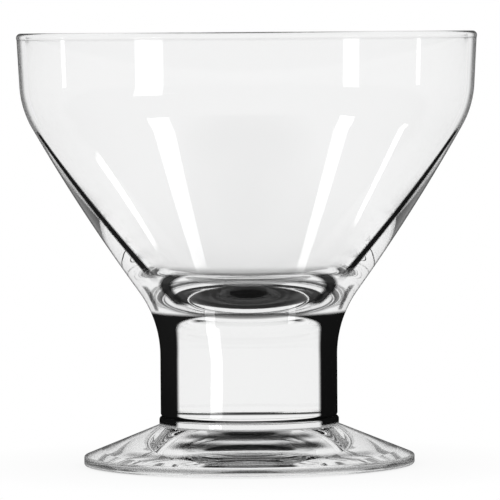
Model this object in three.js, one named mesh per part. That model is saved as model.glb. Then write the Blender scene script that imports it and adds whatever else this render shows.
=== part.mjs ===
// Clear glass ice cream dish: a flared bowl on a short solid stem and a low conical foot.
// The three hot glass pieces are fused where their flat faces meet.
// Millimetres, +Z up. The dish stands on the plane z = 0 and turns about the Z axis.

import * as THREE from "three";

const degrees = THREE.MathUtils.degToRad;

// Foot
const footRadius = 36.6;
const footHeight = 10.7; // table to the joint with the stem
const footEdgeHeight = 2.2; // upright outer edge
const footEdgeRound = 0.5;
const hubHeight = 1.9; // low collar on top of the slope
const hubStep = 0.3; // how far the collar stands out past the stem
const hubFillet = 0.3; // where the slope meets the collar
const restingWidth = 4.8; // flat ring that touches the table
const hollowDepth = 1.2; // shallow hollow inside that ring

// Stem
const stemRadius = 19.6;
const stemLength = 13.4; // joint with the foot to the joint with the bowl
const jointRound = 0.7; // soft edges on both sides of the joint with the foot

// Bowl, outside
const bowlHeight = 71.5; // joint with the stem to the rim
const flareRadius = 24.3; // hollow curve that spreads the stem into the cone
const rimRadius = 50.9; // over the lip
const wallHeight = 11.5; // nearly upright wall below the rim
const wallDraft = degrees(2.65);
const shoulderRadius = 21;
const bodyCurve = 407; // slight outward swell of the cone

// Bowl, inside
const rimThickness = 1.8;
const lipStep = 0.1; // how far the rounded lip stands out past both faces of the wall
const shoulderThickness = 1.7;
const baseThickness = 4.2; // wall at the foot of the cone
const insideCurve = 165; // slight swell of the inside of the cone
const floorThickness = 10.5; // joint with the stem to the lowest point inside

// Facets
const turnSegments = 64;
const facetGap = 0.03; // widest gap between a curve and its facets

// Heights where the pieces are fused, and the height of the rim
const stemJointHeight = footHeight;
const bowlJointHeight = stemJointHeight + stemLength;
const rimHeight = bowlJointHeight + bowlHeight;

// Points along an arc about a centre, between two angles.
function arc(centre, radius, fromAngle, toAngle) {
  const facetAngle = 2 * Math.acos(1 - facetGap / radius);
  const steps = Math.max(2, Math.ceil(Math.abs(toAngle - fromAngle) / facetAngle));
  const points = [];
  for (let i = 0; i <= steps; i += 1) {
    const angle = fromAngle + ((toAngle - fromAngle) * i) / steps;
    const x = centre.x + radius * Math.cos(angle);
    const y = centre.y + radius * Math.sin(angle);
    points.push(new THREE.Vector2(x, y));
  }
  return points;
}

// The two points at given distances from two centres.
function crossings(centreA, radiusA, centreB, radiusB) {
  const across = centreB.clone().sub(centreA);
  const gap = across.length();
  const along = (radiusA ** 2 - radiusB ** 2 + gap ** 2) / (2 * gap);
  const aside = Math.sqrt(radiusA ** 2 - along ** 2);
  const direction = across.divideScalar(gap);
  const square = new THREE.Vector2(-direction.y, direction.x);
  const foot = centreA.clone().addScaledVector(direction, along);
  return [
    foot.clone().addScaledVector(square, aside),
    foot.clone().addScaledVector(square, -aside),
  ];
}

function angleFrom(centre, point) {
  return Math.atan2(point.y - centre.y, point.x - centre.x);
}

// Join pieces of an outline, without the points that neighbouring pieces share.
function joinOutline(...pieces) {
  const nearest = 1e-4;
  const outline = [];
  for (const point of pieces.flat()) {
    const last = outline[outline.length - 1];
    if (!last || last.distanceTo(point) > nearest) {
      outline.push(point);
    }
  }
  return outline;
}

// Turn an outline about the Z axis into a closed glass solid.
function turned(name, outline) {
  const geometry = new THREE.LatheGeometry(outline, turnSegments);
  geometry.rotateX(Math.PI / 2);
  const glass = new THREE.MeshStandardMaterial({
    color: 0xf1f5f4,
    roughness: 0.02,
    metalness: 0,
    transparent: true,
    opacity: 0.35,
  });
  const mesh = new THREE.Mesh(geometry, glass);
  mesh.name = name;
  return mesh;
}

function makeFoot() {
  const hubRadius = stemRadius + hubStep;
  const slopeTop = footHeight - hubHeight;
  const edgeRound = Math.min(footEdgeRound, footEdgeHeight / 2);
  const edgeCentreRadius = footRadius - edgeRound;
  const hollowRadius = edgeCentreRadius - restingWidth;
  const slope = Math.atan2(slopeTop - footEdgeHeight, edgeCentreRadius - hubRadius);

  // The hollow is a shallow dome whose edge meets the resting ring.
  const domeRadius = (hollowRadius ** 2 + hollowDepth ** 2) / (2 * hollowDepth);
  const domeCentre = new THREE.Vector2(0, hollowDepth - domeRadius);
  const domeEdge = Math.PI / 2 - Math.asin(hollowRadius / domeRadius);

  const lowEdgeCentre = new THREE.Vector2(edgeCentreRadius, edgeRound);
  const highEdgeCentre = new THREE.Vector2(edgeCentreRadius, footEdgeHeight - edgeRound);
  const filletRise = hubFillet * Math.tan((Math.PI / 2 - slope) / 2);
  const filletCentre = new THREE.Vector2(hubRadius + hubFillet, slopeTop + filletRise);
  const hubRoundCentre = new THREE.Vector2(hubRadius - jointRound, footHeight - jointRound);

  return turned("foot", joinOutline(
    arc(domeCentre, domeRadius, Math.PI / 2, domeEdge),
    arc(lowEdgeCentre, edgeRound, -Math.PI / 2, 0),
    arc(highEdgeCentre, edgeRound, 0, Math.PI / 2 - slope),
    arc(filletCentre, hubFillet, -Math.PI / 2 - slope, -Math.PI),
    arc(hubRoundCentre, jointRound, 0, Math.PI / 2),
    new THREE.Vector2(0, footHeight),
  ));
}

function makeStem() {
  const roundCentre = new THREE.Vector2(stemRadius - jointRound, stemJointHeight + jointRound);
  return turned("stem", joinOutline(
    new THREE.Vector2(0, stemJointHeight),
    arc(roundCentre, jointRound, -Math.PI / 2, 0),
    new THREE.Vector2(stemRadius, bowlJointHeight),
    new THREE.Vector2(0, bowlJointHeight),
  ));
}

function makeBowl() {
  // Outside: flare, swelling cone, shoulder and upright wall, each tangent to the next.
  const flareCentre = new THREE.Vector2(stemRadius + flareRadius, bowlJointHeight);
  const shoulderHeight = rimHeight - wallHeight;
  const wallTop = rimRadius - lipStep;
  const shoulderEdge = wallTop - wallHeight * Math.tan(wallDraft);
  const shoulderCentre = new THREE.Vector2(
    shoulderEdge - shoulderRadius * Math.cos(wallDraft),
    shoulderHeight + shoulderRadius * Math.sin(wallDraft),
  );
  const nearerAxis = (a, b) => a.x - b.x;
  const bodyCentre = crossings(
    shoulderCentre, bodyCurve - shoulderRadius,
    flareCentre, bodyCurve + flareRadius,
  ).sort(nearerAxis)[0];
  const bodyFoot = angleFrom(bodyCentre, flareCentre);
  const bodyTop = angleFrom(bodyCentre, shoulderCentre);

  // Inside: the same run of curves, set in by the wall, down to a round floor.
  const insideShoulder = shoulderRadius - shoulderThickness;
  const insideCentre = crossings(
    shoulderCentre, insideCurve - insideShoulder,
    flareCentre, insideCurve + flareRadius + baseThickness,
  ).sort(nearerAxis)[0];
  const insideTop = angleFrom(insideCentre, shoulderCentre);

  // The floor is part of a ball: centred on the axis and tangent to the inside of the cone.
  const floorHeight = bowlJointHeight + floorThickness;
  const drop = insideCentre.y - floorHeight;
  const floorCurve = (insideCurve ** 2 - insideCentre.x ** 2 - drop ** 2) / (2 * (insideCurve - drop));
  const floorCentre = new THREE.Vector2(0, floorHeight + floorCurve);
  const floorEdge = angleFrom(insideCentre, floorCentre);

  // The fire-polished lip is a round bead, a little thicker than the wall under it.
  const lipRound = rimThickness / 2 + lipStep;
  const lipCentre = new THREE.Vector2(rimRadius - lipRound, rimHeight - lipRound);
  const lipAngle = Math.acos(rimThickness / 2 / lipRound);

  return turned("bowl", joinOutline(
    new THREE.Vector2(0, bowlJointHeight),
    arc(flareCentre, flareRadius, Math.PI, bodyFoot + Math.PI),
    arc(bodyCentre, bodyCurve, bodyFoot, bodyTop),
    arc(shoulderCentre, shoulderRadius, bodyTop, -wallDraft),
    arc(lipCentre, lipRound, -lipAngle, Math.PI / 2),
    arc(lipCentre, lipRound, Math.PI / 2, Math.PI + lipAngle),
    arc(shoulderCentre, insideShoulder, -wallDraft, insideTop),
    arc(insideCentre, insideCurve, insideTop, floorEdge),
    arc(floorCentre, floorCurve, floorEdge, -Math.PI / 2),
  ));
}

const dish = new THREE.Group();
dish.add(makeFoot(), makeStem(), makeBowl());

export default dish;
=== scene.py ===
# Clear glass ice cream bowl on a plain white studio floor.
import math

import bpy
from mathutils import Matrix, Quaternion, Vector


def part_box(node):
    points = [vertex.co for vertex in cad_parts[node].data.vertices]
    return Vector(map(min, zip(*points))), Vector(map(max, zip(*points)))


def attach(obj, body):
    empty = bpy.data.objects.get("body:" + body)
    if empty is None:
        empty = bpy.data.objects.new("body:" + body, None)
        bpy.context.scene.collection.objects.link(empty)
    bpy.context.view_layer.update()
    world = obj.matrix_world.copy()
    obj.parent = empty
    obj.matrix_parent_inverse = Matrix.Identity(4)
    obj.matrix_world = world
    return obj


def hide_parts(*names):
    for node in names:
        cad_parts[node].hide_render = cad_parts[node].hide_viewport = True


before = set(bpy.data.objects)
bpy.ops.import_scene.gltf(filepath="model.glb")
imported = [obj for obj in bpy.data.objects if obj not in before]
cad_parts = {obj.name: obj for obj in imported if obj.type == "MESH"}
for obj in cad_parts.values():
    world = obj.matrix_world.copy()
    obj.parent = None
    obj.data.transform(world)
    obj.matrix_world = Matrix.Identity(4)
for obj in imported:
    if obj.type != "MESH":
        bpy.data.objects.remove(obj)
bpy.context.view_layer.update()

MM = 0.001

# Sizes that the CAD gives, in millimetres
foot_low, foot_high = [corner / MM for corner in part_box("foot")]
stem_low, stem_high = [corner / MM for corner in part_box("stem")]
bowl_low, bowl_high = [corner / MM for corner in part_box("bowl")]
foot_radius = foot_high.x
stem_radius = stem_high.x
rim_radius = bowl_high.x
stem_joint = foot_high.z
bowl_joint = stem_high.z
rim_height = bowl_high.z

# Sizes of the curves between them, in millimetres, as in the CAD
foot_edge_height = 2.2
foot_edge_round = 0.5
hub_height = 1.9
hub_step = 0.3
hub_fillet = 0.3
resting_width = 4.8
hollow_depth = 1.2
joint_round = 0.7
flare_radius = 24.3
wall_height = 11.5
wall_draft = math.radians(2.65)
shoulder_radius = 21.0
body_curve = 407.0
rim_thickness = 1.8
lip_step = 0.1
shoulder_thickness = 1.7
base_thickness = 4.2
inside_curve = 165.0
floor_thickness = 10.5

# Fineness of the turned glass
turn_segments = 256
facet_gap = 0.002
guard_length = 0.02


def arc(centre, radius, from_angle, to_angle):
    """Points along an arc about a centre, between two angles."""
    facet = 2 * math.acos(1 - facet_gap / radius)
    steps = max(4, math.ceil(abs(to_angle - from_angle) / facet))
    points = []
    for i in range(steps + 1):
        angle = from_angle + (to_angle - from_angle) * i / steps
        points.append(Vector((centre.x + radius * math.cos(angle), centre.y + radius * math.sin(angle))))
    return points


def straight(start, end):
    """Points along a straight run, with one close to each end so that its shading stays true."""
    length = (end - start).length
    steps = max(2, math.ceil(length))
    along = [0.0, guard_length / length]
    along += [i / steps for i in range(1, steps)]
    along += [1 - guard_length / length, 1.0]
    return [start.lerp(end, share) for share in along]


def crossings(centre_a, radius_a, centre_b, radius_b):
    """The two points at given distances from two centres."""
    across = centre_b - centre_a
    gap = across.length
    along = (radius_a ** 2 - radius_b ** 2 + gap ** 2) / (2 * gap)
    aside = math.sqrt(radius_a ** 2 - along ** 2)
    direction = across / gap
    square = Vector((-direction.y, direction.x))
    middle = centre_a + direction * along
    return [middle + square * aside, middle - square * aside]


def angle_from(centre, point):
    return math.atan2(point.y - centre.y, point.x - centre.x)


def join_outline(*pieces):
    """One outline from arcs and single points, without repeated points."""
    outline = []
    for piece in pieces:
        for point in piece if isinstance(piece, list) else [piece]:
            if not outline or (point - outline[-1]).length > 1e-4:
                outline.append(point)
    return outline


def turned(name, outline, material):
    """A smooth surface turned about Z. It is left open where the outline stops short of the axis."""
    vertices = []
    rings = []
    for point in outline:
        if point.x < 1e-6:
            rings.append([len(vertices)])
            vertices.append((0.0, 0.0, point.y * MM))
            continue
        rings.append(list(range(len(vertices), len(vertices) + turn_segments)))
        for k in range(turn_segments):
            turn = 2 * math.pi * k / turn_segments
            vertices.append((point.x * MM * math.cos(turn), point.x * MM * math.sin(turn), point.y * MM))
    faces = []
    for low, high in zip(rings, rings[1:]):
        for k in range(turn_segments):
            after = (k + 1) % turn_segments
            if len(low) == 1:
                faces.append((low[0], high[after], high[k]))
            elif len(high) == 1:
                faces.append((low[k], low[after], high[0]))
            else:
                faces.append((low[k], low[after], high[after], high[k]))
    mesh = bpy.data.meshes.new(name)
    mesh.from_pydata(vertices, [], faces)
    mesh.polygons.foreach_set("use_smooth", [True] * len(mesh.polygons))
    mesh.set_sharp_from_angle(angle=math.radians(15))
    mesh.materials.append(material)
    piece = bpy.data.objects.new(name, mesh)
    bpy.context.scene.collection.objects.link(piece)
    return piece


def foot_outline():
    hub_radius = stem_radius + hub_step
    slope_top = stem_joint - hub_height
    edge_centre = foot_radius - foot_edge_round
    hollow_radius = edge_centre - resting_width
    slope = math.atan2(slope_top - foot_edge_height, edge_centre - hub_radius)
    dome_radius = (hollow_radius ** 2 + hollow_depth ** 2) / (2 * hollow_depth)
    dome_edge = math.pi / 2 - math.asin(hollow_radius / dome_radius)
    fillet_rise = hub_fillet * math.tan((math.pi / 2 - slope) / 2)
    hollow = arc(Vector((0.0, hollow_depth - dome_radius)), dome_radius, math.pi / 2, dome_edge)
    low_edge = arc(Vector((edge_centre, foot_edge_round)), foot_edge_round, -math.pi / 2, 0.0)
    high_centre = Vector((edge_centre, foot_edge_height - foot_edge_round))
    high_edge = arc(high_centre, foot_edge_round, 0.0, math.pi / 2 - slope)
    fillet_centre = Vector((hub_radius + hub_fillet, slope_top + fillet_rise))
    fillet = arc(fillet_centre, hub_fillet, -math.pi / 2 - slope, -math.pi)
    hub_round_centre = Vector((hub_radius - joint_round, stem_joint - joint_round))
    hub_round = arc(hub_round_centre, joint_round, 0.0, math.pi / 2)
    return join_outline(
        Vector((0.0, hollow_depth)),
        hollow[1:],
        straight(hollow[-1], low_edge[0]),
        low_edge,
        straight(low_edge[-1], high_edge[0]),
        high_edge,
        straight(high_edge[-1], fillet[0]),
        fillet,
        straight(fillet[-1], hub_round[0]),
        hub_round,
        Vector((stem_radius - joint_round, stem_joint)),
    )


def stem_outline():
    round_centre = Vector((stem_radius - joint_round, stem_joint + joint_round))
    joint = arc(round_centre, joint_round, -math.pi / 2, 0.0)
    return join_outline(joint, straight(joint[-1], Vector((stem_radius, bowl_joint))))


def bowl_outline():
    flare_centre = Vector((stem_radius + flare_radius, bowl_joint))
    wall_top = rim_radius - lip_step
    shoulder_edge = wall_top - wall_height * math.tan(wall_draft)
    shoulder_centre = Vector((
        shoulder_edge - shoulder_radius * math.cos(wall_draft),
        rim_height - wall_height + shoulder_radius * math.sin(wall_draft),
    ))
    body_centre = min(crossings(
        shoulder_centre, body_curve - shoulder_radius,
        flare_centre, body_curve + flare_radius,
    ), key=lambda point: point.x)
    body_foot = angle_from(body_centre, flare_centre)
    body_top = angle_from(body_centre, shoulder_centre)

    # The lip is a round bead, a little thicker than the wall under it.
    lip_round = rim_thickness / 2 + lip_step
    lip_centre = Vector((rim_radius - lip_round, rim_height - lip_round))
    lip_angle = math.acos(rim_thickness / 2 / lip_round)

    # Inside: shoulder and cone set in by the wall, down to a round floor tangent to the cone.
    inside_shoulder = shoulder_radius - shoulder_thickness
    inside_centre = min(crossings(
        shoulder_centre, inside_curve - inside_shoulder,
        flare_centre, inside_curve + flare_radius + base_thickness,
    ), key=lambda point: point.x)
    floor_height = bowl_joint + floor_thickness
    drop = inside_centre.y - floor_height
    floor_curve = (inside_curve ** 2 - inside_centre.x ** 2 - drop ** 2) / (2 * (inside_curve - drop))
    floor_centre = Vector((0.0, floor_height + floor_curve))
    inside_top = angle_from(inside_centre, shoulder_centre)
    floor_edge = angle_from(inside_centre, floor_centre)
    shoulder = arc(shoulder_centre, shoulder_radius, body_top, -wall_draft)
    lip = arc(lip_centre, lip_round, -lip_angle, math.pi + lip_angle)
    shoulder_inside = arc(shoulder_centre, inside_shoulder, -wall_draft, inside_top)
    return join_outline(
        arc(flare_centre, flare_radius, math.pi, body_foot + math.pi),
        arc(body_centre, body_curve, body_foot, body_top),
        shoulder,
        straight(shoulder[-1], lip[0]),
        lip,
        straight(lip[-1], shoulder_inside[0]),
        shoulder_inside,
        arc(inside_centre, inside_curve, inside_top, floor_edge),
        arc(floor_centre, floor_curve, floor_edge, -math.pi / 2)[:-1],
        Vector((0.0, floor_height)),
    )


class Nodes:
    """Short ways to add nodes to one node tree."""

    def __init__(self, tree):
        self.tree = tree
        self.tree.nodes.clear()

    def add(self, kind, **sockets):
        node = self.tree.nodes.new(kind)
        for name, value in sockets.items():
            self.put(node.inputs[name.replace("_", " ")], value)
        return node

    def put(self, socket, value):
        if isinstance(value, bpy.types.NodeSocket):
            self.tree.links.new(value, socket)
        else:
            socket.default_value = value

    def math(self, operation, *values):
        node = self.tree.nodes.new("ShaderNodeMath")
        node.operation = operation
        for socket, value in zip(node.inputs, values):
            self.put(socket, value)
        return node.outputs[0]

    def total(self, *values):
        result = values[0]
        for value in values[1:]:
            result = self.math("ADD", result, value)
        return result

    def product(self, *values):
        result = values[0]
        for value in values[1:]:
            result = self.math("MULTIPLY", result, value)
        return result

    def rise(self, value, low, high):
        """0 below low, 1 above high and smooth between them."""
        node = self.tree.nodes.new("ShaderNodeMapRange")
        node.interpolation_type = "SMOOTHSTEP"
        node.inputs["From Min"].default_value = low
        node.inputs["From Max"].default_value = high
        self.tree.links.new(value, node.inputs["Value"])
        return node.outputs["Result"]

    def band(self, value, low, high, soft):
        """1 between low and high, with soft edges."""
        return self.product(
            self.rise(value, low - soft, low + soft),
            self.math("SUBTRACT", 1.0, self.rise(value, high - soft, high + soft)),
        )

    def bearing(self, vector):
        """Turn from the camera's side (right is positive), the height angle and the distance."""
        parts = self.add("ShaderNodeSeparateXYZ", Vector=vector).outputs
        degrees = 180 / math.pi
        turn = self.product(self.math("ARCTAN2", parts["X"], self.product(parts["Y"], -1.0)), degrees)
        distance = self.math("SQRT", self.total(
            self.product(parts["X"], parts["X"]), self.product(parts["Y"], parts["Y"])))
        height = self.product(self.math("ARCTAN2", parts["Z"], distance), degrees)
        return turn, height, distance


# The studio is white all round, up to this angle above the table.
backdrop_top = 56.0
# How bright the outside of the glass mirrors the white studio
mirrored_level = 0.5
# Table seen through the glass, in metres from the axis: painted shadow under the foot, then up to white
painted_shade_radius = 0.020
painted_shade_fade = 0.080
# How much the foot's contact shadow takes from the white floor
shadow_depth = 0.16
# Strips of light on the table that the outside of the glass mirrors, in degrees from the camera's
# side (right is positive) and metres from the axis: turn, half width, turn per metre, nearest and
# farthest. The last two are how flat along the table they may be looked at, least and most.
table_lamps = (
    (-48.4, 7.5, 0.0, 0.36, 3.0, -1.0, 0.918),
    (51.9, 4.3, 0.0, 0.70, 3.0, -1.0, 0.918),
    (-43.6, 5.9, 0.0, 0.047, 0.142, -1.0, 0.55),
    (49.6, 4.2, 0.0, 0.047, 0.155, -1.0, 0.40),
    (-62.0, 2.4, -278.0, 0.066, 0.118, -1.0, 0.45),
    (79.4, 2.0, 75.0, 0.078, 0.142, -1.0, 0.50),
    (-102.8, 1.5, 0.0, 1.0, 3.0, -1.0, 2.0),
    (93.8, 1.4, 0.0, 1.0, 3.0, -1.0, 2.0),
    (-41.0, 8.0, 0.0, 0.060, 0.150, 0.42, 2.0),
    (-41.0, 8.0, 0.0, 0.143, 0.42, 0.78, 2.0),
)
table_lamp_level = 4.0


def make_world():
    world = bpy.data.worlds.new("studio")
    bpy.context.scene.world = world
    world.use_nodes = True
    n = Nodes(world.node_tree)
    direction = n.add("ShaderNodeTexCoord").outputs["Generated"]
    _, height, _ = n.bearing(direction)
    ray = n.add("ShaderNodeLightPath").outputs
    white = n.math("SUBTRACT", 1.0, n.rise(height, backdrop_top - 4, backdrop_top + 4))
    dimmed = n.math("SUBTRACT", 1.0, n.product(ray["Is Reflection Ray"], 1 - mirrored_level))
    studio = n.product(white, dimmed)
    seen = ray["Is Camera Ray"]
    level = n.total(n.product(studio, n.math("SUBTRACT", 1.0, seen)), seen)
    background = n.add("ShaderNodeBackground", Color=(1.0, 1.0, 1.0, 1.0), Strength=level)
    n.add("ShaderNodeOutputWorld", Surface=background.outputs[0])


def table_lamp_light(n, lamp, turn, distance, facing):
    middle, half, lean, nearest, farthest, steepest, flattest = lamp
    aside = n.math("SUBTRACT", turn, n.total(n.product(distance, lean), middle))
    return n.product(
        n.band(aside, -half, half, 0.6),
        n.band(distance, nearest, farthest, nearest * 0.05),
        n.band(facing, steepest, flattest, 0.002),
        table_lamp_level,
    )


def make_floor():
    half = 8.0
    mesh = bpy.data.meshes.new("floor")
    corners = [(-half, -half, 0), (half, -half, 0), (half, half, 0), (-half, half, 0)]
    mesh.from_pydata(corners, [], [(0, 1, 2, 3)])
    floor = bpy.data.objects.new("floor", mesh)
    floor.location.z = -0.0002
    bpy.context.scene.collection.objects.link(floor)
    material = bpy.data.materials.new("floor")
    material.use_nodes = True
    n = Nodes(material.node_tree)
    place = n.add("ShaderNodeNewGeometry").outputs["Position"]
    turn, _, distance = n.bearing(place)
    facing = n.add("ShaderNodeLayerWeight", Blend=0.5).outputs["Facing"]
    ray = n.add("ShaderNodeLightPath").outputs
    mirrored = ray["Is Reflection Ray"]
    dimmed = n.math("SUBTRACT", 1.0, n.product(mirrored, 1 - mirrored_level))
    # Painted shadow of the foot on the table for rays through the glass; mirrored rays see the table
    # white
    table_with_painted_shade = n.product(n.math("MAXIMUM", n.rise(distance, painted_shade_radius, painted_shade_fade), mirrored), dimmed)
    lamps = n.total(*[table_lamp_light(n, lamp, turn, distance, facing) for lamp in table_lamps])
    studio = n.total(table_with_painted_shade, n.product(lamps, mirrored))
    # The camera sees white with the soft contact shadow of the foot.
    open_sky = n.add("ShaderNodeAmbientOcclusion", Distance=0.06).outputs["AO"]
    shaded = n.math("SUBTRACT", 1.0, n.product(n.math("SUBTRACT", 1.0, open_sky), shadow_depth))
    seen = ray["Is Camera Ray"]
    level = n.total(n.product(studio, n.math("SUBTRACT", 1.0, seen)), n.product(seen, shaded))
    white = n.add("ShaderNodeEmission", Color=(1.0, 1.0, 1.0, 1.0), Strength=level)
    n.add("ShaderNodeOutputMaterial", Surface=white.outputs[0])
    mesh.materials.append(material)


# Painted shade: dark lines on the outside of the glass, placed by how far the surface turns away from
# the eye, from 0 to 1, and by heights in metres
# Painted shade along the outline: where it starts, where it is full, its strength and how much sooner it
# starts on the wall
edge_shade_start = 0.84
edge_shade_full = 0.93
edge_shade_strength = 0.7
edge_shade_on_wall = 0.07
# Painted shade on the sides of the solid stem: where they start and are full, lowest, highest and where
# they curve inward
stem_shade_start = 0.37
stem_shade_full = 0.43
stem_shade_low = 0.0090
stem_shade_high = 0.0340
stem_shade_curve = 0.0300
# Painted shade in a stroke along the inside of the cone's wall: from, to, their change per metre above a
# height, that height, lowest and highest
shade_stroke_from = 0.530
shade_stroke_to = 0.604
shade_stroke_lean = 10.4
shade_stroke_base = 0.0463
shade_stroke_low = 0.0425
shade_stroke_high = 0.0750
# Rings of painted shade where the bowl's floor runs into the stem, bars on the foot, a line round its
# edge
# and one under the lip: from, to, lowest, highest, strength and how much they bow inward at both ends
shade_rings = (
    (0.42, 0.51, 0.0362, 0.0430, 0.97, 9000.0),
    (0.64, 0.72, 0.0345, 0.0400, 0.75, 0.0),
    (0.53, 0.63, 0.0072, 0.0081, 0.85, 0.0),
    (0.53, 0.63, 0.0053, 0.0065, 0.90, 0.0),
    (0.53, 0.72, 0.0034, 0.0041, 0.50, 0.0),
    (-1.0, 0.95, 0.0008, 0.0017, 0.60, 0.0),
    (-1.0, 0.97, 0.0940, 0.0943, 0.22, 0.0),
)
# Painted shade where light leaves thick glass at a flat angle: from, to, lowest and highest
exit_shade_start = 0.15
exit_shade_end = 0.25
exit_shade_low = 0.0005
exit_shade_high = 0.0345


def make_glass():
    material = bpy.data.materials.new("clear_glass")
    material.use_nodes = True
    n = Nodes(material.node_tree)
    place = n.add("ShaderNodeTexCoord").outputs["Object"]
    height = n.add("ShaderNodeSeparateXYZ", Vector=place).outputs["Z"]

    # Slow waves that the mould and the fire polish leave in pressed glass
    waves = n.add("ShaderNodeTexNoise", Vector=place, Scale=60.0, Detail=1.0).outputs["Fac"]
    bump = n.add("ShaderNodeBump", Strength=0.5, Distance=0.00002, Height=waves).outputs["Normal"]

    # The thick glass of the stem and foot is a little deeper in tone than the thin wall.
    thick = n.math("SUBTRACT", 1.0, n.rise(height, 0.034, 0.046))
    tone = n.add("ShaderNodeMix")
    tone.data_type = "RGBA"
    n.put(tone.inputs["Factor"], thick)
    n.put(tone.inputs[6], (0.962, 0.963, 0.963, 1.0))
    n.put(tone.inputs[7], (0.898, 0.900, 0.899, 1.0))

    # Fine scuffs where the foot rests on tables
    scuffs = n.add("ShaderNodeTexNoise", Vector=place, Scale=900.0, Detail=3.0).outputs["Fac"]
    resting = n.math("SUBTRACT", 1.0, n.rise(height, 0.0001, 0.0006))
    roughness = n.product(resting, n.rise(scuffs, 0.55, 0.8), 0.08)

    clear = n.add(
        "ShaderNodeBsdfPrincipled",
        Base_Color=tone.outputs[2],
        Roughness=roughness,
        IOR=1.52,
        Transmission_Weight=1.0,
        Normal=bump,
    )
    # The outside is where the surface faces away from the axis, and the lip is all outside.
    flat = n.add("ShaderNodeVectorMath")
    flat.operation = "MULTIPLY"
    n.put(flat.inputs[0], place)
    n.put(flat.inputs[1], (1.0, 1.0, 0.0))
    outward = n.add("ShaderNodeVectorMath")
    outward.operation = "DOT_PRODUCT"
    n.put(outward.inputs[0], flat.outputs["Vector"])
    n.put(outward.inputs[1], n.add("ShaderNodeTexCoord").outputs["Normal"])
    outside = n.math("GREATER_THAN", outward.outputs["Value"], 0.0)
    lip = n.rise(height, (rim_height - 2.0) * MM, (rim_height - 1.5) * MM)
    back = n.add("ShaderNodeNewGeometry").outputs["Backfacing"]
    front = n.math("SUBTRACT", 1.0, back)
    facing = n.add("ShaderNodeLayerWeight", Blend=0.5).outputs["Facing"]

    # Edges that are seen flat along the surface get a fine grey outline of painted shade.
    on_wall = n.rise(height, 0.066, 0.074)
    widened = n.total(facing, n.product(on_wall, edge_shade_on_wall))
    outline = n.product(
        n.rise(widened, edge_shade_start, edge_shade_full),
        edge_shade_strength,
        n.math("MAXIMUM", outside, lip),
    )
    # Painted shade on the thick glass: at the stem's sides, in a stroke along the cone and in some
    # rings.
    curve = n.rise(height, stem_shade_curve, stem_shade_high + 0.0015)
    stem_side_shade = n.product(
        n.rise(n.total(facing, n.product(curve, curve, 0.35)), stem_shade_start, stem_shade_full),
        n.band(height, stem_shade_low, stem_shade_high, 0.0005),
    )
    above = n.product(n.math("SUBTRACT", height, shade_stroke_base), shade_stroke_lean)
    stroke = n.product(
        n.band(n.math("SUBTRACT", facing, above), shade_stroke_from, shade_stroke_to, 0.014),
        n.band(height, shade_stroke_low, shade_stroke_high, 0.002),
    )
    shade_bands = n.math("MAXIMUM", stem_side_shade, stroke)
    for from_turn, to_turn, lowest, highest, strength, bow in shade_rings:
        off_middle = n.math("SUBTRACT", height, (lowest + highest) / 2)
        bowed = n.total(facing, n.product(off_middle, off_middle, bow))
        ring = n.product(
            n.band(bowed, from_turn, to_turn, 0.02),
            n.band(height, lowest, highest, 0.0004),
            strength,
        )
        shade_bands = n.math("MAXIMUM", shade_bands, ring)
    # Painted shade on the inside of thick glass, where light would leave it at a flat angle
    exit_shade = n.product(
        n.band(facing, exit_shade_start, exit_shade_end, 0.01),
        n.band(height, exit_shade_low, exit_shade_high, 0.0005),
    )
    # All the painted shade together: outline, bands and rings from the front, the flat-angle shade from
    # behind
    outside_shade = n.product(n.math("MAXIMUM", outline, n.product(shade_bands, outside)), front)
    painted_shade_mask = n.math("MAXIMUM", outside_shade, n.product(exit_shade, outside, back))
    # The near-black diffuse that paints the shade into the clear glass
    painted_shade_bsdf = n.add("ShaderNodeBsdfDiffuse", Color=(0.012, 0.012, 0.012, 1.0))
    glass_and_painted_shade = n.add("ShaderNodeMixShader", Fac=painted_shade_mask)
    n.put(glass_and_painted_shade.inputs[1], clear.outputs[0])
    n.put(glass_and_painted_shade.inputs[2], painted_shade_bsdf.outputs[0])
    n.add("ShaderNodeOutputMaterial", Surface=glass_and_painted_shade.outputs[0])
    return material


def make_camera():
    # The photo's eye level is the rim, far enough away for a flat perspective.
    pixel = 0.22139
    frame_pixels = 500
    base_line = 464
    distance = 1118.0
    aside = 0.44
    tilt = math.radians(0.40)
    aim = Vector((aside, 0.0, (base_line - frame_pixels / 2) * pixel)) * MM
    eye = Vector((aside, -distance, rim_height)) * MM
    data = bpy.data.cameras.new("camera")
    camera = bpy.data.objects.new("camera", data)
    camera.location = eye
    look = aim - eye
    camera.rotation_mode = "QUATERNION"
    camera.rotation_quaternion = look.to_track_quat("-Z", "Y") @ Quaternion((0, 0, 1), -tilt)
    data.sensor_width = 36.0
    data.lens = data.sensor_width * look.length / (frame_pixels * pixel * MM)
    data.clip_start = 0.01
    bpy.context.scene.collection.objects.link(camera)
    bpy.context.scene.camera = camera


def make_dish():
    glass = make_glass()
    for name, outline in (("foot", foot_outline()), ("stem", stem_outline()), ("bowl", bowl_outline())):
        piece = turned("glass_" + name, outline, glass)
        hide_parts(name)
        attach(piece, "root")


scene = bpy.context.scene
scene.view_settings.view_transform = "Standard"
# Light crosses the glass many times before it comes out.
scene.cycles.max_bounces = 24
scene.cycles.transmission_bounces = 24
scene.cycles.glossy_bounces = 24

make_camera()
make_world()
make_floor()
make_dish()
